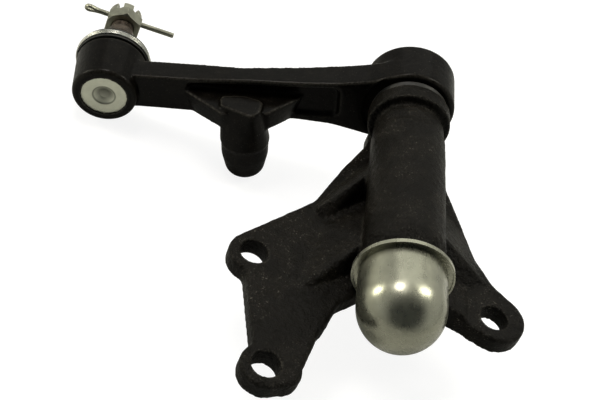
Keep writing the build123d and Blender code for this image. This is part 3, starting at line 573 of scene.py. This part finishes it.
def smoothed(places, pairs, passes, softness):
    """Places moved towards their neighbours, by as much as softness gives at each place."""
    count = len(places)
    first, second = pairs[:, 0], pairs[:, 1]
    neighbours = np.bincount(pairs.ravel(), minlength=count)
    for _ in range(passes):
        pull = np.empty_like(places)
        for axis in range(3):
            pull[:, axis] = (np.bincount(first, places[second, axis], count)
                             + np.bincount(second, places[first, axis], count))
        pull /= neighbours[:, None]
        places = places + (0.5 * softness)[:, None] * (pull - places)
    return places


def soft_skin(node, name, grid, passes, softness, relief, reshape=None):
    """A dense copy of a node with softened edges, moved along its normals by relief(place)."""
    start = bpy.data.objects.new(name, frame["nodes"][node].data.copy())
    bpy.context.scene.collection.objects.link(start)
    remesh = start.modifiers.new("Even grid", "REMESH")
    remesh.mode = "VOXEL"
    remesh.voxel_size = grid
    remesh.use_smooth_shade = True
    held = start.evaluated_get(bpy.context.evaluated_depsgraph_get())
    mesh = bpy.data.meshes.new_from_object(held)
    bpy.data.objects.remove(start)
    if not mesh.vertices:
        raise RuntimeError(f"the even grid over {node} came out empty")
    mesh.name = name
    places = np.zeros(3 * len(mesh.vertices), np.float32)
    normals = np.zeros(3 * len(mesh.vertices), np.float32)
    pairs = np.zeros(2 * len(mesh.edges), np.int32)
    mesh.vertices.foreach_get("co", places)
    mesh.edges.foreach_get("vertices", pairs)
    places = places.reshape(-1, 3).astype(float)
    if reshape:
        places = reshape(places)
    places = smoothed(places, pairs.reshape(-1, 2), passes, softness(places))
    mesh.vertices.foreach_set("co", places.astype(np.float32).ravel())
    mesh.update()
    mesh.vertex_normals.foreach_get("vector", normals)
    lifts = np.array([relief(Vector(place)) for place in places])
    places += normals.reshape(-1, 3) * lifts[:, None]
    places = np.clip(places, *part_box(node))
    mesh.vertices.foreach_set("co", places.astype(np.float32).ravel())
    mesh.update()
    return mesh


def from_axis(places, x, z):
    """Distance of each place from the line along Y through x and z."""
    return np.hypot(places[:, 0] - x, places[:, 2] - z)


def ramp(value, width):
    """0 up to zero, then rising to 1 at width."""
    return min(1.0, max(0.0, value / width))


def thread(name, centre, start_y, end_y, radius, pitch, depth):
    """A screw thread about the line along Y through centre."""
    shape = bmesh.new()
    segments, steps = 40, 6
    rows = int((end_y - start_y) / pitch * steps)
    rings = []
    for row in range(rows + 1):
        ring = []
        for step in range(segments):
            phase = (row / steps - step / segments) % 1
            reach = radius - depth * (1 - abs(2 * phase - 1))
            angle = 2 * math.pi * step / segments
            ring.append(shape.verts.new((centre[0] + reach * math.cos(angle),
                                         start_y + (end_y - start_y) * row / rows,
                                         centre[1] + reach * math.sin(angle))))
        rings.append(ring)
    for lower, upper in zip(rings, rings[1:]):
        for step in range(segments):
            after = (step + 1) % segments
            shape.faces.new((lower[step], upper[step], upper[after], lower[after]))
    shape.faces.new(rings[0])
    shape.faces.new(rings[-1][::-1])
    return meshed(name, shape)


def wire(name, path, flat_side, thick, wide):
    """An oval wire along a list of places: wide along flat_side, thick square to it."""
    shape = bmesh.new()
    sides = 12
    rings = []
    for index, place in enumerate(path):
        way = path[min(len(path) - 1, index + 1)] - path[max(0, index - 1)]
        across = way.cross(flat_side).normalized()
        up = across.cross(way).normalized()
        ring = []
        for step in range(sides):
            angle = 2 * math.pi * step / sides
            ring.append(shape.verts.new(place + thick * math.cos(angle) * across
                                        + wide * math.sin(angle) * up))
        rings.append(ring)
    for lower, upper in zip(rings, rings[1:]):
        for step in range(sides):
            after = (step + 1) % sides
            shape.faces.new((lower[step], lower[after], upper[after], upper[step]))
    shape.faces.new(rings[0][::-1])
    shape.faces.new(rings[-1])
    return meshed(name, shape)


def meshed(name, shape):
    """A mesh from a bmesh, with outward normals and smooth shading below 40 degrees."""
    bmesh.ops.recalc_face_normals(shape, faces=shape.faces)
    for face in shape.faces:
        face.smooth = True
    for edge in shape.edges:
        edge.smooth = edge.calc_face_angle(0.0) < math.radians(40)
    mesh = bpy.data.meshes.new(name)
    shape.to_mesh(mesh)
    shape.free()
    return mesh


# Pieces

def rounded_tube_end(places):
    """The tube's front end rounded off towards the dust cap, on its upper side."""
    reach = from_axis(places, SHAFT_X, SHAFT_Z)
    behind = places[:, 1] - SHOULDER_Y
    run = np.clip(TUBE_END_LENGTH - behind, 0, TUBE_END_LENGTH)
    bend = run ** 2 / (2 * TUBE_END_BEND)
    drop = TUBE_END_DROP * np.where(run < TUBE_END_BEND, bend, run - TUBE_END_BEND / 2)
    inner, outer = TUBE_SKIN
    skin = (reach > inner) & (reach < outer) & (behind > CAP_FACE) & (run > 0)
    target = np.maximum(TUBE_RADIUS - drop, TUBE_END_RADIUS)
    wanted = np.where(skin, np.minimum(reach, target), reach)
    fade = 8 * MM
    upper = np.clip((places[:, 2] - SHAFT_Z + fade / 2) / fade, 0, 1)
    scale = 1 + upper * (wanted / np.maximum(reach, MM) - 1)
    moved = places.copy()
    moved[:, 0] = SHAFT_X + (places[:, 0] - SHAFT_X) * scale
    moved[:, 2] = SHAFT_Z + (places[:, 2] - SHAFT_Z) * scale
    return moved


def true_holes(places):
    """The skin along each bolt hole put back on the hole's true radius."""
    moved = places.copy()
    for hole in BOLT_HOLES:
        centre = np.array(hole["pos_m"][:2])
        rim = hole["dims"]["r_mm"] * MM
        way = moved[:, :2] - centre
        reach = np.hypot(way[:, 0], way[:, 1])
        wall = np.abs(reach - rim) < HOLE_WALL
        moved[wall, :2] = centre + way[wall] * (rim / reach[wall])[:, None]
    return moved


def bracket_form(places):
    """The bracket with its rounded tube end and its true holes."""
    return true_holes(rounded_tube_end(places))


def bracket_softness(places):
    """1 on the cast skin, less at the bolt holes and on the turned band, groove and head."""
    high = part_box("bracket")[1]
    least, turned = 0.05, 0.3
    rim_band, fade = 0.8 * MM, 2 * MM
    soft = np.ones(len(places))
    for hole in BOLT_HOLES:
        x, y, _ = hole["pos_m"]
        rim = hole["dims"]["r_mm"] * MM
        reach = np.hypot(places[:, 0] - x, places[:, 1] - y)
        soft = np.minimum(soft, np.clip((reach - rim - rim_band) / fade, least, 1))
    turned_end = (places[:, 1] > high.y - TURNED_LENGTH) & (places[:, 2] > SHAFT_Z - TURNED_FOOT)
    return np.where(turned_end, turned, soft)


def bracket_relief(look):
    """Waves and pebbles of the cast skin, faded out on the machined faces."""
    low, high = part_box("bracket")
    turned_start = high.y - TURNED_LENGTH
    drips_end = SHOULDER_Y + 1.1 * TUBE_END_LENGTH
    drips_reach = 24 * MM
    broad, narrow, pebble, drip = 9 * MM, 3.4 * MM, 2.1 * MM, 3.6 * MM

    def relief(place):
        seat = ramp(place.z - low.z - 1.0 * MM, 2 * MM)
        ends = max(0.06, ramp(turned_start - place.y, 2 * MM))
        hole = min(math.hypot(place.x - h["pos_m"][0], place.y - h["pos_m"][1])
                   - h["dims"]["r_mm"] * MM for h in BOLT_HOLES)
        clear = ramp(hole, 3 * MM)
        wave = noise.noise(place / broad) + 0.6 * noise.noise(place / narrow)
        lumps = max(0.0, noise.noise(place / pebble) - 0.15)
        front = ramp(drips_end - place.y, 3 * MM)
        reach = math.hypot(place.x - SHAFT_X, place.z - SHAFT_Z)
        on_tube = ramp(drips_reach - reach, 2 * MM)
        drips = front * on_tube * look.drips * noise.noise(place / drip)
        return seat * ends * clear * (look.relief * (wave + 1.1 * lumps) + drips)

    return relief


def arm_softness(places):
    """1 on the forged skin, less on the turned joint housing and round the shaft's bore."""
    turned = 0.35
    joint = from_axis(places, JOINT_X, JOINT_Z)
    shaft = from_axis(places, SHAFT_X, SHAFT_Z)
    return np.where((joint < HOUSING_REACH) | (shaft < EYE_REACH), turned, 1.0)


def arm_relief(look):
    """Faint waves of the forged skin, faded out on the turned ends."""
    housing, broad, narrow = 19 * MM, 13 * MM, 3.5 * MM

    def relief(place):
        joint = math.hypot(place.x - JOINT_X, place.z - JOINT_Z)
        clear = ramp(joint - housing, 4 * MM)
        wave = noise.noise(place / broad) + 0.4 * noise.noise(place / narrow)
        return clear * look.forged_relief * wave

    return relief


class IDLER_OT_bracket(bpy.types.Operator):
    """Cast bracket with its pebbly black skin"""
    bl_idname = "idler.bracket"
    bl_label = "Cast bracket"

    def execute(self, context):
        look = context.scene.idler_paint
        mesh = soft_skin("bracket", "cast_bracket", look.casting_grid, look.casting_passes,
                         bracket_softness, bracket_relief(look), bracket_form)
        add_piece("cast_bracket", mesh, cast_paint(look), "bracket", ["bracket"])
        return {"FINISHED"}


class IDLER_OT_arm(bpy.types.Operator):
    """Forged arm with its stop boss and joint housing"""
    bl_idname = "idler.arm"
    bl_label = "Forged arm"

    def execute(self, context):
        look = context.scene.idler_paint
        mesh = soft_skin("idler_arm", "forged_arm", look.forging_grid, look.forging_passes,
                         arm_softness, arm_relief(look))
        add_piece("forged_arm", mesh, forged_paint(look), "arm", ["idler_arm"])
        return {"FINISHED"}


class IDLER_OT_dust_cap(bpy.types.Operator):
    """Drawn dust cap in zinc"""
    bl_idname = "idler.dust_cap"
    bl_label = "Dust cap"

    def execute(self, context):
        dress("dust_cap", drawn_zinc(context.scene.idler_metal))
        return {"FINISHED"}


class IDLER_OT_bearing(bpy.types.Operator):
    """Shaft, bushes, front nut with its washer and pin, and the rear seal"""
    bl_idname = "idler.bearing"
    bl_label = "Shaft and bushes"

    def execute(self, context):
        look = context.scene.idler_metal
        steel = ground_steel()
        bronze = sintered_bronze()
        for node in ("idler_shaft", "thrust_washer"):
            dress(node, steel)
        for node in ("cap_side_bush", "arm_side_bush"):
            dress(node, bronze)
        dress("shaft_nut", plated("shaft_nut_zinc", look.hardware))
        dress("shaft_cotter_pin", plated("shaft_pin_zinc", look.hardware))
        dress("dust_seal", black_rubber("seal_rubber", context.scene.idler_rubber))
        return {"FINISHED"}


class IDLER_OT_joint_inside(bpy.types.Operator):
    """End plug, preload spring and both ball seats"""
    bl_idname = "idler.joint_inside"
    bl_label = "Joint plug and seats"

    def execute(self, context):
        look = context.scene.idler_metal
        dress("end_plug", dished_zinc(look))
        dress("preload_spring", plated("spring_steel", look.stud))
        plastic = seat_plastic()
        for node in ("front_ball_seat", "rear_ball_seat"):
            dress(node, plastic)
        return {"FINISHED"}


def sunk_boot(mesh):
    """Lets the boot's dome sag to a straight cone between its skirt and its neck."""
    low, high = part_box("dust_boot")
    skirt_y, neck_y = low.y + BOOT_SKIRT, high.y - BOOT_NECK
    wide, narrow = BOOT_RADII
    kept = 0.02
    normals = [vertex.normal.copy() for vertex in mesh.vertices]
    for vertex, normal in zip(mesh.vertices, normals):
        share = (vertex.co.y - skirt_y) / (neck_y - skirt_y)
        if kept < share < 1:
            arm = Vector((vertex.co.x - JOINT_X, 0, vertex.co.z - JOINT_Z))
            outer = normal.dot(arm) > 0
            limit = wide - (wide - narrow) * share - (0 if outer else BOOT_WALL)
            arm *= min(1.0, limit / max(arm.length, MM))
            vertex.co.x, vertex.co.z = JOINT_X + arm.x, JOINT_Z + arm.z
    mesh.update()


def ring_path(turns, radius, pitch, middle_y):
    """A coil about the stud's axis, with a free end bent out on the shaft's side."""
    path = []
    steps = RING_STEPS * turns
    for step in range(-RING_END_STEPS, steps + RING_END_STEPS + 1):
        angle = RING_START + 2 * math.pi * step / RING_STEPS
        lift = max(0, -step, step - steps) * RING_END_LIFT
        y = middle_y + pitch * (min(max(step, 0), steps) / RING_STEPS - turns / 2)
        path.append(Vector((JOINT_X + (radius + lift) * math.cos(angle), y,
                            JOINT_Z + (radius + lift) * math.sin(angle))))
    return path


class IDLER_OT_boot(bpy.types.Operator):
    """Rubber boot with its wire rings"""
    bl_idname = "idler.boot"
    bl_label = "Boot and rings"

    def execute(self, context):
        look = context.scene.idler_rubber
        metal = context.scene.idler_metal
        boot = bpy.data.objects.new("rubber_boot", frame["nodes"]["dust_boot"].data.copy())
        context.scene.collection.objects.link(boot)
        sunk_boot(boot.data)
        boot.data.materials.clear()
        boot.data.materials.append(black_rubber("boot_rubber", look))
        low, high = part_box("dust_boot")
        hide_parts("dust_boot")
        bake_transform(boot)
        dress("boot_small_ring", plated("neck_ring_wire", metal.stud))
        low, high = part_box("boot_large_ring")
        radius = (high.x - low.x) / 2 - metal.ring_wire - RING_PLAY
        pitch = RING_PITCH * metal.ring_wire
        path = ring_path(metal.ring_turns, radius, pitch, (low.y + high.y) / 2)
        mesh = wire("skirt_ring", path, Vector((0, 1, 0)), metal.ring_wire, metal.ring_wire)
        add_piece("skirt_ring", mesh, bright_wire(metal), "arm", ["boot_large_ring"])
        return {"FINISHED"}


def pin_path(along, across, middle):
    """One wire from a leg's end round the eye and back: two legs and a teardrop loop."""
    low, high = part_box("stud_cotter_pin")
    end = (high.x - JOINT_X) - 0.2 * MM
    eye = (JOINT_X - low.x) - PIN_LOOP - 1.1 * MM
    leg_steps, eye_steps = 12, 16
    eye_start, eye_turn = 65, 230
    straight = eye - 2.4 * PIN_LOOP + end
    flat = [(end - straight * k / leg_steps, PIN_LEG) for k in range(leg_steps + 1)]
    flat.append((1.5 * PIN_LOOP - eye, 1.6 * PIN_LEG))
    for k in range(eye_steps + 1):
        angle = math.radians(eye_start + eye_turn * k / eye_steps)
        flat.append((PIN_LOOP * math.cos(angle) - eye, PIN_LOOP * math.sin(angle)))
    flat.append((1.5 * PIN_LOOP - eye, -1.6 * PIN_LEG))
    flat += [(a, -b) for a, b in flat[leg_steps::-1]]
    return [middle + a * along + b * across for a, b in flat]


class IDLER_OT_stud(bpy.types.Operator):
    """Ball stud with its thread, its castle nut and its split pin"""
    bl_idname = "idler.stud"
    bl_label = "Stud, nut and pin"

    def execute(self, context):
        look = context.scene.idler_metal
        steel = dark_steel(look)
        dress("ball_stud", steel)
        nut_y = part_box("stud_nut")[0].y
        mesh = thread("stud_thread", (JOINT_X, JOINT_Z), nut_y - THREAD_SHOWN,
                      nut_y + THREAD_IN_NUT, THREAD_RADIUS, look.thread_pitch, look.thread_depth)
        add_piece("stud_thread", mesh, steel, "stud")
        dress("stud_nut", plated("stud_nut_zinc", look.hardware))
        places = np.array([v.co for v in frame["nodes"]["stud_cotter_pin"].data.vertices])
        middle = Vector((JOINT_X, (places[:, 1].min() + places[:, 1].max()) / 2, JOINT_Z))
        legs = places[places[:, 0] > JOINT_X + PIN_LEG_REACH]
        if not len(legs):
            raise RuntimeError("the split pin has no legs beyond the nut")
        along = (Vector(legs.mean(axis=0)) - middle).normalized()
        across = Vector((0, 1, 0)).cross(along)
        turn = look.pin_roll
        flat_side = Vector((0, math.cos(turn), 0)) - math.sin(turn) * across
        across = flat_side.cross(along).normalized()
        path = pin_path(along, across, middle)
        mesh = wire("split_pin", path, flat_side, PIN_THICK, PIN_WIDE)
        add_piece("split_pin", mesh, plated("stud_pin_zinc", look.hardware),
                  "stud", ["stud_cotter_pin"])
        return {"FINISHED"}


# Stage

# Each window: name, direction seen from the part, width, height and colour
WINDOWS = (
    ("left_window", (-0.91, 0.25, 0.27), 0.24, 0.38, (1.0, 0.97, 0.80)),
    ("middle_window", (-0.34, 0.20, 0.92), 0.32, 0.28, (1.0, 0.95, 0.91)),
    ("right_window", (0.58, 0.22, 0.78), 0.24, 0.40, (1.0, 0.98, 0.86)),
)

# Directions of the ceiling panel and of the room's dark part, seen from the part
CEILING_SIDE = (0.0, 0.72, 0.69)
CEILING_SIZE = 1.8
CEILING_COLOUR = (1.0, 1.0, 0.92)
DARK_SIDE = (0.0, -0.78, 0.62)

# How far towards the dark part each shade of the room starts, and its colour
ROOM_PALE = (0.48, (0.80, 0.80, 0.74, 1))
ROOM_DARK = (0.80, (0.035, 0.042, 0.045, 1))


def add_lamp(name, place, target, wide, high, glow, colour):
    """A soft rectangular lamp at place, turned towards target, glow times as bright as white."""
    lamp = bpy.data.lights.new(name, "AREA")
    lamp.shape = "RECTANGLE"
    lamp.size = wide
    lamp.size_y = high
    lamp.energy = glow * math.pi * wide * high
    lamp.color = colour
    holder = bpy.data.objects.new(name, lamp)
    bpy.context.scene.collection.objects.link(holder)
    holder.location = place
    holder.rotation_euler = (target - place).to_track_quat("-Z", "Y").to_euler()


def floor_material(colour):
    """White for the camera, and a plain grey floor for reflections and for the light itself."""
    material = bpy.data.materials.new("white_floor")
    material.use_nodes = True
    tree = material.node_tree
    tree.nodes.clear()
    new = tree.nodes.new
    output = new("ShaderNodeOutputMaterial")
    plain = new("ShaderNodeBsdfDiffuse")
    plain.inputs["Color"].default_value = (*colour, 1)
    shaded = new("ShaderNodeBsdfDiffuse")
    shaded.inputs["Color"].default_value = (FLOOR_SHADE, FLOOR_SHADE, FLOOR_SHADE, 1)
    glow = new("ShaderNodeEmission")
    glow.inputs["Strength"].default_value = FLOOR_GLOW
    both = new("ShaderNodeAddShader")
    path = new("ShaderNodeLightPath")
    seen = new("ShaderNodeMath")
    seen.operation = "MAXIMUM"
    pick = new("ShaderNodeMixShader")
    join = tree.links.new
    join(shaded.outputs[0], both.inputs[0])
    join(glow.outputs[0], both.inputs[1])
    join(path.outputs["Is Camera Ray"], seen.inputs[0])
    join(path.outputs["Is Transmission Ray"], seen.inputs[1])
    join(seen.outputs[0], pick.inputs[0])
    join(plain.outputs[0], pick.inputs[1])
    join(both.outputs[0], pick.inputs[2])
    join(pick.outputs[0], output.inputs["Surface"])
    return material


def studio_world():
    """A pale room with a dark part in front, behind the camera."""
    world = bpy.data.worlds.new("studio")
    bpy.context.scene.world = world
    world.use_nodes = True
    tree = world.node_tree
    tree.nodes.clear()
    new = tree.nodes.new
    direction = new("ShaderNodeTexCoord")
    towards_dark = new("ShaderNodeVectorMath")
    towards_dark.operation = "DOT_PRODUCT"
    towards_dark.inputs[1].default_value = Vector(DARK_SIDE).normalized()
    shades = new("ShaderNodeValToRGB")
    sky = new("ShaderNodeBackground")
    output = new("ShaderNodeOutputWorld")
    join = tree.links.new
    join(direction.outputs["Generated"], towards_dark.inputs[0])
    join(towards_dark.outputs["Value"], shades.inputs[0])
    join(shades.outputs[0], sky.inputs["Color"])
    join(sky.outputs[0], output.inputs["Surface"])
    for element, (position, colour) in zip(shades.color_ramp.elements, (ROOM_PALE, ROOM_DARK)):
        element.position = position
        element.color = colour


class IDLER_OT_stage(bpy.types.Operator):
    """Camera at the reference angle, soft lamps and a white floor"""
    bl_idname = "idler.stage"
    bl_label = "Stage"

    def execute(self, context):
        look = context.scene.idler_stage
        scene = context.scene
        camera = bpy.data.objects.new("camera", bpy.data.cameras.new("camera"))
        scene.collection.objects.link(camera)
        camera.data.lens = look.lens
        camera.data.sensor_width = 36
        camera.data.clip_start = 0.01
        camera.location = look.camera_place
        camera.rotation_euler = Euler(look.camera_turn)
        scene.camera = camera

        middle = (CAD_LOW + CAD_HIGH) / 2
        for name, way, wide, high, colour in WINDOWS:
            add_lamp(name, middle + Vector(way).normalized() * look.window_distance, middle,
                     wide, high, look.window_glow, colour)
        add_lamp("ceiling", middle + Vector(CEILING_SIDE).normalized() * 2 * look.window_distance,
                 middle, CEILING_SIZE, CEILING_SIZE, look.ceiling_glow, CEILING_COLOUR)

        mesh = bpy.data.meshes.new("floor")
        shape = bmesh.new()
        bmesh.ops.create_circle(shape, cap_ends=True, segments=96, radius=FLOOR_RADIUS)
        shape.to_mesh(mesh)
        shape.free()
        mesh.materials.append(floor_material(look.floor_colour))
        floor = bpy.data.objects.new("floor", mesh)
        scene.collection.objects.link(floor)
        floor.location = (middle.x, middle.y, CAD_LOW.z)

        studio_world()
        scene.view_settings.view_transform = "Standard"
        return {"FINISHED"}


STEPS = (IDLER_OT_bracket, IDLER_OT_arm, IDLER_OT_dust_cap, IDLER_OT_bearing,
         IDLER_OT_joint_inside, IDLER_OT_boot, IDLER_OT_stud, IDLER_OT_stage)
LOOKS = {"idler_paint": PaintLook, "idler_metal": MetalLook, "idler_rubber": RubberLook,
         "idler_stage": StageLook}


class IDLER_PT_panel(bpy.types.Panel):
    """The pieces of the idler arm, in the order that they are made"""
    bl_idname = "IDLER_PT_panel"
    bl_label = "Idler arm"
    bl_space_type = "VIEW_3D"
    bl_region_type = "UI"
    bl_category = "Idler arm"

    def draw(self, context):
        for step in STEPS:
            self.layout.operator(step.bl_idname)
        for name, group in LOOKS.items():
            box = self.layout.box()
            for prop in group.__annotations__:
                box.prop(getattr(context.scene, name), prop)


def register():
    for name, group in LOOKS.items():
        bpy.utils.register_class(group)
        setattr(bpy.types.Scene, name, PointerProperty(type=group))
    for step in STEPS:
        bpy.utils.register_class(step)
    bpy.utils.register_class(IDLER_PT_panel)


def unregister():
    bpy.utils.unregister_class(IDLER_PT_panel)
    for step in reversed(STEPS):
        bpy.utils.unregister_class(step)
    for name, group in LOOKS.items():
        delattr(bpy.types.Scene, name)
        bpy.utils.unregister_class(group)


def main():
    register()
    for step in STEPS:
        group, action = step.bl_idname.split(".")
        getattr(getattr(bpy.ops, group), action)()


if __name__ == "__main__":
    main()
